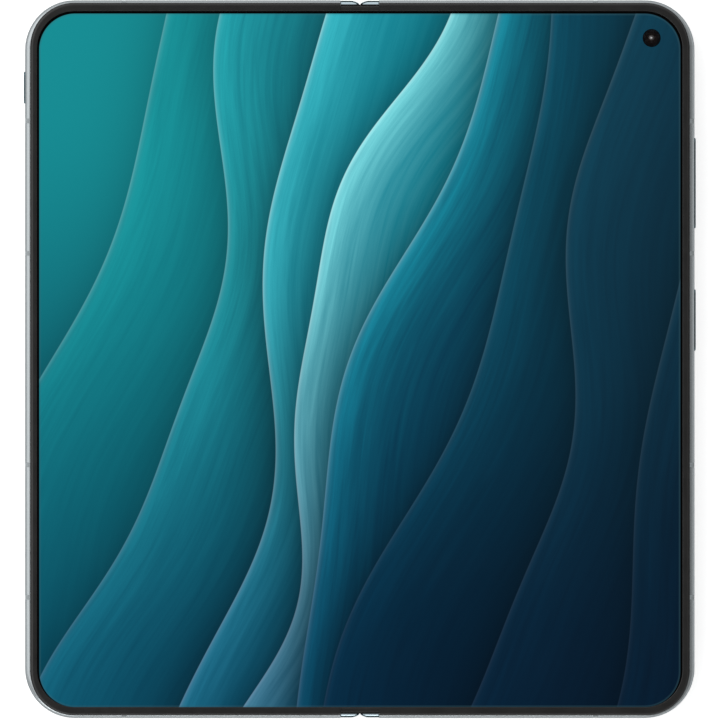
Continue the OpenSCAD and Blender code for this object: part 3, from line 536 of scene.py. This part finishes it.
field_y = calc(lit_tree, "SUBTRACT", uv["Y"], active_shift / unit)
reach = field_reach(lit_tree, uv["X"], field_y, active_x / unit, active_y / unit, active_corner / unit)
inside = ramp(lit_tree, reach, (active_corner - 0.05) / unit, (active_corner + 0.05) / unit, 1, 0)
edge_line = ramp(lit_tree, reach, (active_corner - 0.42) / unit, (active_corner - 0.26) / unit, 0, 0.22)
colour = mix(lit_tree, edge_line, colour, (0.045, 0.115, 0.135, 1))
lit_tree.links.new(mix(lit_tree, inside, (0, 0, 0, 1), colour), lit_shader.inputs["Emission Color"])
lit_shader.inputs["Emission Strength"].default_value = 1.0
lit_tree.links.new(mix(lit_tree, inside, (0.0015, 0.0015, 0.0015, 1), (0.001, 0.0015, 0.002, 1)),
                   lit_shader.inputs["Base Color"])
haze = ramp(lit_tree, noise(lit_tree, flat_place, 9.0, 5.0), 0.3, 0.7, 0.06, 0.13)
lit_tree.links.new(haze, lit_shader.inputs["Roughness"])

screen_low, screen_top = 7.15, 7.5
screen_w, screen_l, screen_corner = 68.93, 74.33, 8.0
punch_place, punch_r = (62.35, 68.6), 1.93      # the inner camera's hole
bend_end, bend_steps = 6.0, 24                  # the screen bends between the fold and here


def lay_flat(shape):
    """Gives a sheet a UV map from its own place across and along the open phone."""
    layer = shape.loops.layers.uv.new("flat")
    for face in shape.faces:
        for loop in face.loops:
            loop[layer].uv = (loop.vert.co.x / (unit * mm), loop.vert.co.y / (unit * mm))


def cut_across(shape, places):
    """Cuts a shape at several places across, where it has to bend."""
    for x in places:
        bmesh.ops.bisect_plane(shape, geom=shape.verts[:] + shape.edges[:] + shape.faces[:], dist=1e-7,
                               plane_co=(x * mm, 0, 0), plane_no=(1, 0, 0))


backing = finish("screen_backing", (0.006, 0.006, 0.007), (0.010, 0.010, 0.011), 0.15, 0.45, 0.1, 0.002,
                 uv_unit=unit)
for side, half in ((1, "right"), (-1, "left")):
    shape = bmesh.new()
    half_plate(shape, side, 0.0, screen_w, screen_l, screen_corner)
    bmesh.ops.delete(shape, geom=shape.faces[:], context="FACES_ONLY")
    if half == "right":
        bmesh.ops.create_circle(shape, segments=48, radius=punch_r * mm,
                                matrix=Matrix.Translation((punch_place[0] * mm, punch_place[1] * mm, 0)))
    bmesh.ops.triangle_fill(shape, use_beauty=True, use_dissolve=False, edges=shape.edges[:],
                            normal=(0, 0, 1))
    cut_across(shape, [side * bend_end * k / bend_steps for k in range(1, bend_steps + 1)])
    thicken(shape, screen_low, screen_top)
    lay_flat(shape)
    for face in shape.faces:
        face.material_index = 0 if face.normal.z > 0.5 else 1
    sheet = piece(f"screen_{half}", shape, lit,
                  stands_for=(f"display_{half}", "display_fold"))
    sheet.data.materials.append(backing)
    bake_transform(sheet)

# Soft dark strips carry the bezel across the fold at both ends, with a low lap towards the hinge ears,
# painted near black as shade.
strip_reach, strip_steps = 4.13, 16
strip_top, lap_top, strip_round = 7.7, 7.28, 0.18
strip_in, lap_in, lap_out = 74.36, 75.46, 75.76
strip_section = ((strip_in, screen_low), (lap_out, screen_low), (lap_out, lap_top), (lap_in, lap_top),
                 (lap_in, strip_top), (strip_in, strip_top))
rubber = finish("fold_strip_rubber", (0.011, 0.0108, 0.0105), (0.016, 0.0156, 0.015), 0.10, 0.38, 0.1, 0.003,
                uv_unit=unit, Specular_IOR_Level=0.45)
rubber_tree, rubber_colour, rubber_tone = retone(rubber)
along_y = calc(rubber_tree, "ABSOLUTE", placed(rubber_tree, "flat")["Y"])
# Painted shade: the low lap is coloured near black, as if shadowed under the ears.
painted_lap_shade = ramp(rubber_tree, along_y, (lap_in - 0.04) / unit, (lap_in + 0.06) / unit)
rubber_tree.links.new(mix(rubber_tree, painted_lap_shade, rubber_tone, (0.001, 0.001, 0.001, 1)), rubber_colour)
top = at_height(strip_top)
for side, half in ((1, "right"), (-1, "left")):
    for end, name in ((1, "top"), (-1, "bottom")):
        shape = bmesh.new()
        shape.faces.new([shape.verts.new((0, end * y * mm, z * mm)) for y, z in strip_section])
        draw_out(shape, (side * strip_reach * mm, 0, 0))
        cut_across(shape, [side * strip_reach * k / strip_steps for k in range(1, strip_steps)])
        ease_edges(shape, strip_round, steps=3,
                   chosen=lambda e: top(e) and abs(e.verts[0].co.y - e.verts[1].co.y) < 0.01 * mm)
        lay_flat(shape)
        strip = piece(f"fold_strip_{half}_{name}", shape, rubber,
                      stands_for=("display_fold",))
        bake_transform(strip)


# ---- Inner camera ----
# A small camera looks up through the hole in the screen: a flat black glass disc, warm towards
# its middle, with the tiny dome of the lens there; a near-white mirror spot painted on the dome makes its
# glint.

def spun(shape, outline, centre, steps=48):
    """Turns an outline of radius and height points round an upright axis."""
    corners = [shape.verts.new(((centre[0] + r) * mm, centre[1] * mm, z * mm)) for r, z in outline]
    edges = [shape.edges.new(pair) for pair in zip(corners, corners[1:])]
    bmesh.ops.spin(shape, geom=corners + edges, cent=(centre[0] * mm, centre[1] * mm, 0), axis=(0, 0, 1),
                   angle=2 * pi, steps=steps, use_merge=True)
    bmesh.ops.remove_doubles(shape, verts=shape.verts, dist=0.0005 * mm)
    bmesh.ops.recalc_face_normals(shape, faces=shape.faces)


def vector_calc(tree, operation, *values, result="Vector"):
    """The result of one Vector Math node."""
    return add(tree, "ShaderNodeVectorMath", dict(enumerate(values)), operation=operation).outputs[result]


def seen_from(tree, place, centre):
    """A place as measured from an upright axis."""
    return vector_calc(tree, "SUBTRACT", place, (centre[0] * mm, centre[1] * mm, 0))


def flat_length(tree, place):
    """How far a place lies from the axis, whatever its height."""
    return vector_calc(tree, "LENGTH", vector_calc(tree, "MULTIPLY", place, (1, 1, 0)), result="Value")


def lens_finish(name, centre, rim, coat_in, coat_out, radius, glint_radius=None):
    """Black coated glass whose tint changes from its middle to its rim; the very middle may get a painted
    glint, a near-white mirror spot.
    """
    made, tree, shader = principled(name, IOR=1.6, Coat_Weight=1.0, Coat_Roughness=0.02)
    place = object_place(tree)
    off = flat_length(tree, seen_from(tree, place, centre))
    share = calc(tree, "DIVIDE", off, radius * mm)
    tint = mix(tree, ramp(tree, share, 0.0, 0.55), (*coat_in, 1), (*coat_out, 1))
    tint = mix(tree, ramp(tree, share, 0.6, 0.95), tint, (*rim, 1))
    dust = noise(tree, place, 2500.0, 4.0)
    tint = mix(tree, ramp(tree, dust, 0.45, 0.75, 0, 0.06), tint, (0.2, 0.2, 0.22, 1))
    if glint_radius:
        # Painted glint: a near-white mirror spot at the very middle of the lens.
        painted_glint = ramp(tree, off, glint_radius * 0.7 * mm, glint_radius * mm, 1, 0)
        tint = mix(tree, painted_glint, tint, (0.95, 0.97, 1.0, 1))
        tree.links.new(painted_glint, shader.inputs["Metallic"])
    tree.links.new(tint, shader.inputs["Base Color"])
    tree.links.new(ramp(tree, dust, 0.4, 0.8, 0.04, 0.12), shader.inputs["Roughness"])
    return made


small_lens = lens_finish("inner_lens_coating", punch_place, (0.0025, 0.003, 0.004), (0.014, 0.007, 0.005),
                         (0.006, 0.004, 0.004), radius=1.8, glint_radius=0.2)
disc_r, disc_top = 1.88, 7.42
dome = [(0.22, disc_top), (0.19, 7.44), (0.15, 7.455), (0.10, 7.465), (0.05, 7.469), (0, 7.47)]
shape = bmesh.new()
spun(shape, [(0, screen_low), (disc_r, screen_low), (disc_r, disc_top), (1.0, 7.421), *dome], punch_place)
piece("inner_camera_lens", shape, small_lens, "right_half", ("inner_camera_window",), sharp=60)


# ---- Glass backs and outer screen ----
# The right back is a sheet of etched glass, deep green-grey and matt. The left is clear, glossy
# cover glass, with the outer screen and its camera showing faintly through. Both are ground round
# at the edges where they meet the frame.

etched = finish("etched_back_glass", (0.010, 0.028, 0.026), (0.016, 0.038, 0.035), 0.06, 0.36, 0.06, 0.0012,
                Specular_IOR_Level=0.55, IOR=1.52)
clear_black = finish("cover_glass", (0.0035, 0.004, 0.0045), (0.006, 0.0065, 0.007), 0.5, 0.05, 0.03, 0.0001,
                     IOR=1.52)
cover_tree, cover_colour, border = retone(clear_black)
spot = placed(cover_tree)
outer_mid, outer_x, outer_y, outer_corner = -38.425, 29.9, 73.5, 6.0      # the outer screen's lit field
field_x = calc(cover_tree, "SUBTRACT", spot["X"], outer_mid * mm)
reach = field_reach(cover_tree, field_x, spot["Y"], outer_x * mm, outer_y * mm, outer_corner * mm)
beyond_field = ramp(cover_tree, reach, (outer_corner - 0.06) * mm, (outer_corner + 0.06) * mm)
tone = mix(cover_tree, beyond_field, (0.018, 0.020, 0.024, 1), border)
eye_place = (-38.875, 70.7)      # the outer camera's hole, with its black ring, lens and bluish middle
eye = flat_length(cover_tree, seen_from(cover_tree, object_place(cover_tree), eye_place))
for r, ring in ((1.95, (0.002, 0.002, 0.002, 1)), (1.05, (0.060, 0.062, 0.066, 1)),
                (0.92, (0.004, 0.005, 0.008, 1)), (0.5, (0.012, 0.016, 0.045, 1))):
    tone = mix(cover_tree, ramp(cover_tree, eye, (r - 0.05) * mm, (r + 0.05) * mm, 1, 0), tone, ring)
cover_tree.links.new(tone, cover_colour)
glass_face = 2.0                 # the height of both glasses' outer face
for node, name, glass, slot in (("right_back_cover", "back_glass_sheet", etched, "back_glass"),
                                ("cover_glass", "cover_glass_sheet", clear_black, "cover_glass")):
    smooth_node(node, name, glass, ease=0.32, chosen=at_height(glass_face), steps=4)
dark_panel = finish("outer_screen_panel", (0.006, 0.006, 0.008), (0.010, 0.010, 0.014), 0.2, 0.3, 0.1, 0.0005)
smooth_node("cover_screen", "cover_screen_panel", dark_panel)


# ---- Rear cameras ----
# A square island of dark anodised aluminium stands off the back. It holds three cameras in
# turned rings under flat glass, a flash, and a small hole for a microphone.

anodised = finish("anodised_island", (0.035, 0.042, 0.044), (0.050, 0.058, 0.060), 0.07, 0.34, 0.1, 0.0015,
                  Metallic=0.9)
smooth_node("camera_island", "camera_island_plate", anodised, sharp=30)

turned, turned_tree, turned_shader = principled("turned_rings", Metallic=1.0)
island_mid, lens_aside = (46.05, 51.7), 8.0      # each lens lies this far from the island's middle, both ways
place = vector_calc(turned_tree, "ABSOLUTE", seen_from(turned_tree, object_place(turned_tree), island_mid))
off = flat_length(turned_tree, seen_from(turned_tree, place, (lens_aside, lens_aside)))
off = add(turned_tree, "ShaderNodeCombineXYZ", {0: off}).outputs[0]
grooves = noise(turned_tree, off, 30000.0, 2.0)
groove_share = ramp(turned_tree, grooves, 0.3, 0.7)
turned_tree.links.new(mix(turned_tree, groove_share, (0.45, 0.47, 0.48, 1), (0.62, 0.64, 0.65, 1)),
                      turned_shader.inputs["Base Color"])
turned_tree.links.new(ramp(turned_tree, grooves, 0.3, 0.7, 0.14, 0.28), turned_shader.inputs["Roughness"])
relief(turned_tree, turned_shader, grooves, 0.001)
smooth_node("lens_rings", "lens_rings_turned", turned, sharp=35)

window, window_tree, window_shader = principled("lens_window_glass", IOR=1.3, Transmission_Weight=1.0,
                                                Base_Color=(0.93, 0.95, 0.96, 1))
smear = noise(window_tree, object_place(window_tree), 300.0, 4.0)
window_tree.links.new(ramp(window_tree, smear, 0.4, 0.8, 0.0, 0.05), window_shader.inputs["Roughness"])
smooth_node("lens_glasses", "lens_windows", window, ease=0.08)

# Each camera is a box with a barrel whose mouth steps in, coarsely ribbed, to the front lens.
barrel_r, barrel_low, barrel_high = 3.9, 0.75, 4.3
barrel_floor, box_low = 3.0, 4.26
rib_count, rib_pitch, rib_height = 6, 0.28, 0.14
lens_gap, lens_back, lens_front = 0.02, 2.95, 1.75
camera_black = finish("camera_black", (0.003, 0.003, 0.0035), (0.006, 0.006, 0.0065), 0.06, 0.55, 0.2, 0.002,
                      Specular_IOR_Level=0.3)
for kind, way_x, way_y, opening, coat_in, coat_out in (
    ("main", -1, 1, 2.9, (0.045, 0.110, 0.260), (0.130, 0.045, 0.180)),
    ("wide", -1, -1, 2.3, (0.040, 0.160, 0.130), (0.080, 0.080, 0.260)),
    ("zoom", 1, -1, 2.6, (0.160, 0.060, 0.130), (0.040, 0.110, 0.230)),
):
    centre = (island_mid[0] + way_x * lens_aside, island_mid[1] + way_y * lens_aside)
    low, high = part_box(f"{kind}_camera")
    shape = bmesh.new()
    outline = [(0, barrel_floor), (opening, barrel_floor)]
    for k in reversed(range(rib_count)):
        r = opening + (barrel_r - 0.25 - opening) * (1 - k / (rib_count - 1))
        z = barrel_low + 0.12 + rib_pitch * k
        outline += [(r, z + rib_height), (r, z)]
    outline += [(barrel_r - 0.2, barrel_low), (barrel_r, barrel_low + 0.06),
                (barrel_r, barrel_high), (0, barrel_high)]
    spun(shape, outline, centre)
    made = bmesh.ops.create_cube(shape, size=1)["verts"]
    bmesh.ops.scale(shape, vec=(high.x - low.x, high.y - low.y, high.z - box_low * mm), verts=made)
    middle = ((low.x + high.x) / 2, (low.y + high.y) / 2, (high.z + box_low * mm) / 2)
    bmesh.ops.translate(shape, vec=middle, verts=made)
    piece(f"{kind}_camera_module", shape, camera_black, "right_half", (f"{kind}_camera",))
    shape = bmesh.new()
    dome = [(opening * s - lens_gap if s else 0, lens_front + 0.75 * s * s)
            for s in (1, 0.9, 0.75, 0.6, 0.45, 0.3, 0.15, 0)]
    spun(shape, [(0, lens_back), (opening - lens_gap, lens_back), *dome], centre)
    glass = lens_finish(f"{kind}_lens_coating", centre, (0.004, 0.004, 0.006), coat_in, coat_out, opening)
    piece(f"{kind}_front_lens", shape, glass, "right_half")

# The flash is a pale resin lens with rings moulded in its face, over a yellow lamp.
clouded, flash_tree, flash_shader = principled("flash_resin", IOR=1.49, Coat_Weight=0.8, Coat_Roughness=0.05,
                                               Subsurface_Weight=0.2)
flash_mid = (island_mid[0] + lens_aside, island_mid[1] + lens_aside)
place = seen_from(flash_tree, object_place(flash_tree), flash_mid)
paler = ramp(flash_tree, flat_length(flash_tree, place), 0.5 * mm, 1.3 * mm)
flash_tree.links.new(mix(flash_tree, paler, (0.86, 0.62, 0.16, 1), (0.80, 0.77, 0.66, 1)),
                     flash_shader.inputs["Base Color"])
cloud = noise(flash_tree, place, 3000.0, 3.0)
flash_tree.links.new(ramp(flash_tree, cloud, 0.3, 0.7, 0.12, 0.22), flash_shader.inputs["Roughness"])
flash_r, flash_back, flash_face = 2.1, 2.5, 0.40
outline = [(0, flash_back), (flash_r, flash_back), (flash_r, flash_face + 0.06), (flash_r - 0.06, flash_face)]
for k in range(6):
    r = 1.8 - 0.26 * k
    outline += [(r, flash_face), (r - 0.02, flash_face + 0.12), (r - 0.20, flash_face + 0.02)]
shape = bmesh.new()
spun(shape, [*outline, (0, flash_face)], flash_mid)
piece("flash_lens", shape, clouded, "right_half", ("flash_window",), sharp=20)


# ---- Keys and tray ----
# Volume rocker, power key and alert slider are milled from aluminium and anodised a shade darker
# than the frame. The SIM tray is milled and blasted like the frame. Their edges are eased.

def past(axis, limit):
    """Chooses the edges that lie wholly beyond a limit along x (0) or y (1), on the limit's own side."""
    way = 1 if limit > 0 else -1
    return lambda edge: all(v.co[axis] * way > abs(limit) * mm for v in edge.verts)


key_satin = finish("key_satin", (0.060, 0.110, 0.130), (0.080, 0.135, 0.155), 0.08, 0.28, 0.08, 0.001,
                   streak=(1, 0.08, 1), Metallic=1.0, Specular_Tint=(0.15, 0.2, 0.22, 1))
key_face = 71.8      # just under the keys' outer faces
for node, side in (("volume_rocker", 1), ("power_button", 1), ("alert_slider", -1)):
    smooth_node(node, f"{node}_cap", key_satin, ease=0.14, chosen=past(0, side * key_face))
smooth_node("sim_tray", "sim_tray_milled", blasted, ease=0.06, chosen=past(1, 0.01 - half_l))


# ---- Charging port, speakers and microphones ----
# A drawn steel shell with a plastic tongue that carries two rows of gold contacts, and fine
# woven mesh behind the sound holes.

drawn = finish("usb_steel", (0.46, 0.46, 0.45), (0.50, 0.50, 0.49), 0.1, 0.3, 0.04, 0.0006,
               streak=(1, 0.1, 1), Metallic=1.0)
shell_mouth = -76.39      # just under the shell's open end
smooth_node("usb_c_shell", "usb_shell_drawn", drawn, ease=0.06, chosen=past(1, shell_mouth))
tongue_black = finish("usb_plastic", (0.012, 0.012, 0.012), (0.02, 0.02, 0.02), 0.06, 0.45, 0.1, 0.002)
smooth_node("usb_c_tongue", "usb_tongue_moulded", tongue_black, ease=0.08)
gold = finish("contact_gold", (0.75, 0.52, 0.18), (0.82, 0.60, 0.26), 0.05, 0.25, 0.1, 0.0005, Metallic=1.0)
port_x, contact_y, contact_heights = 38.875, -73.4, (4.388, 5.112)
contact_count, contact_pitch, contact_w, contact_l, contact_t = 12, 0.5, 0.26, 3.4, 0.03
shape = bmesh.new()
for k in range(contact_count):
    x = port_x + (k - (contact_count - 1) / 2) * contact_pitch
    for z in contact_heights:
        made = bmesh.ops.create_cube(shape, size=1)["verts"]
        bmesh.ops.scale(shape, vec=(contact_w * mm, contact_l * mm, contact_t * mm), verts=made)
        bmesh.ops.translate(shape, vec=(x * mm, contact_y * mm, z * mm), verts=made)
ease_edges(shape, 0.008, steps=1)
piece("usb_contacts", shape, gold, "right_half")

wire_pitch = 0.13 * mm
woven, woven_tree, woven_shader = principled("sound_mesh", Metallic=0.7)
spot = placed(woven_tree)
waves = []
for way in ("X", "Z"):
    wave = calc(woven_tree, "SINE", calc(woven_tree, "MULTIPLY", spot[way], pi / wire_pitch))
    waves.append(calc(woven_tree, "ABSOLUTE", wave))
wires = calc(woven_tree, "MAXIMUM", *waves)
wire_share = ramp(woven_tree, wires, 0.75, 0.95)
woven_tree.links.new(mix(woven_tree, wire_share, (0.002, 0.002, 0.002, 1), (0.09, 0.095, 0.10, 1)),
                     woven_shader.inputs["Base Color"])
woven_tree.links.new(ramp(woven_tree, wires, 0.6, 1.0, 0.7, 0.35), woven_shader.inputs["Roughness"])
relief(woven_tree, woven_shader, wires, 0.02)
speaker_x, hole_pitch, sound_z = 58.05, 2.2, 4.75
speaker_holes = [speaker_x + hole_pitch * (k - 2.5) for k in range(6)]
lone_hole = [port_x]      # a microphone's
mesh_disc = [(0, 76.05), (0.3, 76.03), (0.42, 75.98), (0.47, 76.08), (0.58, 76.08), (0.58, 75.9), (0, 75.9)]
for half, side in (("right", 1), ("left", -1)):
    shape = bmesh.new()
    for end, places in ((-side, speaker_holes), (side, lone_hole)):
        for x in places:
            spun(shape, [(r, -end * out) for r, out in mesh_disc], (side * x, sound_z), steps=24)
    bmesh.ops.rotate(shape, verts=shape.verts, cent=(0, 0, 0), matrix=Matrix.Rotation(pi / 2, 3, "X"))
    piece(f"{half}_sound_mesh", shape, woven, f"{half}_half")


# ---- Hinge ----
# A brushed aluminium spine with closed ends, over steel hinge modules with pins, washers and
# gears. The arms are screwed to the frames. Thin steel wings back the screen beside the fold.

brushed_spine = finish("brushed_spine", (0.38, 0.42, 0.44), (0.46, 0.50, 0.52), 0.16, 0.26, 0.1, 0.001,
                       streak=(1, 0.03, 1), Metallic=1.0)
smooth_node("spine_cover", "spine_cover_brushed", brushed_spine, ease=0.08)
smooth_node("spine_end_caps", "spine_caps_brushed", brushed_spine)


def coat(names, material):
    """Gives CAD nodes that keep their own shape a material of this scene."""
    for name in names:
        nodes[name].data.materials[0] = material


coat(("hinge_cores", "timing_core", "right_hinge_arms", "left_hinge_arms",
      "right_timing_arm", "left_timing_arm"),
     finish("hinge_steel", (0.33, 0.34, 0.35), (0.42, 0.43, 0.44), 0.08, 0.35, 0.15, 0.002, Metallic=1.0))
coat(("hinge_shafts", "idler_gear_right", "idler_gear_left"),
     finish("shaft_steel", (0.60, 0.60, 0.60), (0.70, 0.70, 0.70), 0.1, 0.2, 0.1, 0.001, streak=(1, 0.05, 1),
            Metallic=1.0))
coat(("friction_washers",),
     finish("washer_bronze", (0.50, 0.44, 0.30), (0.60, 0.54, 0.40), 0.08, 0.35, 0.1, 0.001, Metallic=1.0))
coat(("right_wing_plate", "left_wing_plate"),
     finish("wing_steel", (0.55, 0.55, 0.55), (0.64, 0.64, 0.64), 0.15, 0.25, 0.1, 0.001, streak=(1, 0.03, 1),
            Metallic=1.0))
coat(("right_screws", "left_screws"),
     finish("screw_steel", (0.42, 0.42, 0.42), (0.52, 0.52, 0.52), 0.06, 0.3, 0.1, 0.001, Metallic=1.0))


# ---- Inside the halves ----
# Batteries in dark pouches, two circuit boards with steel lids, speakers, switches, the
# vibration motor and the cameras' bodies.

coat(("right_battery", "left_battery"),
     finish("battery_pouch", (0.02, 0.021, 0.026), (0.03, 0.031, 0.037), 0.6, 0.4, 0.15, 0.01))
coat(("main_board", "left_board"),
     finish("board_laminate", (0.005, 0.045, 0.024), (0.008, 0.065, 0.034), 0.3, 0.4, 0.1, 0.004))
coat(("board_shields", "left_shields"),
     finish("shield_steel", (0.50, 0.50, 0.48), (0.58, 0.58, 0.56), 0.2, 0.35, 0.1, 0.002, Metallic=1.0))
coat(("right_speaker", "left_speaker", "side_switches", "earpiece", "slider_switch"),
     finish("module_plastic", (0.016, 0.016, 0.018), (0.024, 0.024, 0.027), 0.1, 0.5, 0.15, 0.005))
coat(("vibration_motor",),
     finish("motor_steel", (0.50, 0.50, 0.49), (0.60, 0.60, 0.59), 0.2, 0.3, 0.1, 0.002, streak=(0.1, 1, 1),
            Metallic=1.0))
coat(("inner_camera", "cover_camera"), camera_black)

# The flat cable that joins the two boards crosses the fold in two lengths, each cut across where it bends.
amber = finish("flex_film", (0.24, 0.075, 0.008), (0.32, 0.105, 0.014), 0.2, 0.3, 0.1, 0.001)
bend_from, bend_to, cable_steps = 1.7, 5.2, 12      # where the cable bends
for side, half in ((1, "right"), (-1, "left")):
    shape = sewn_copy("hinge_flex")
    cut_across(shape, [side * (bend_from + (bend_to - bend_from) * k / cable_steps)
                       for k in range(cable_steps + 1)])
    bmesh.ops.bisect_plane(shape, geom=shape.verts[:] + shape.edges[:] + shape.faces[:], dist=1e-7,
                           plane_co=(0, 0, 0), plane_no=(-side, 0, 0), clear_outer=True)
    bmesh.ops.holes_fill(shape, edges=[e for e in shape.edges if e.is_boundary], sides=0)
    cable = piece(f"hinge_cable_{half}", shape, amber, stands_for=("hinge_flex",))
    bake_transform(cable)
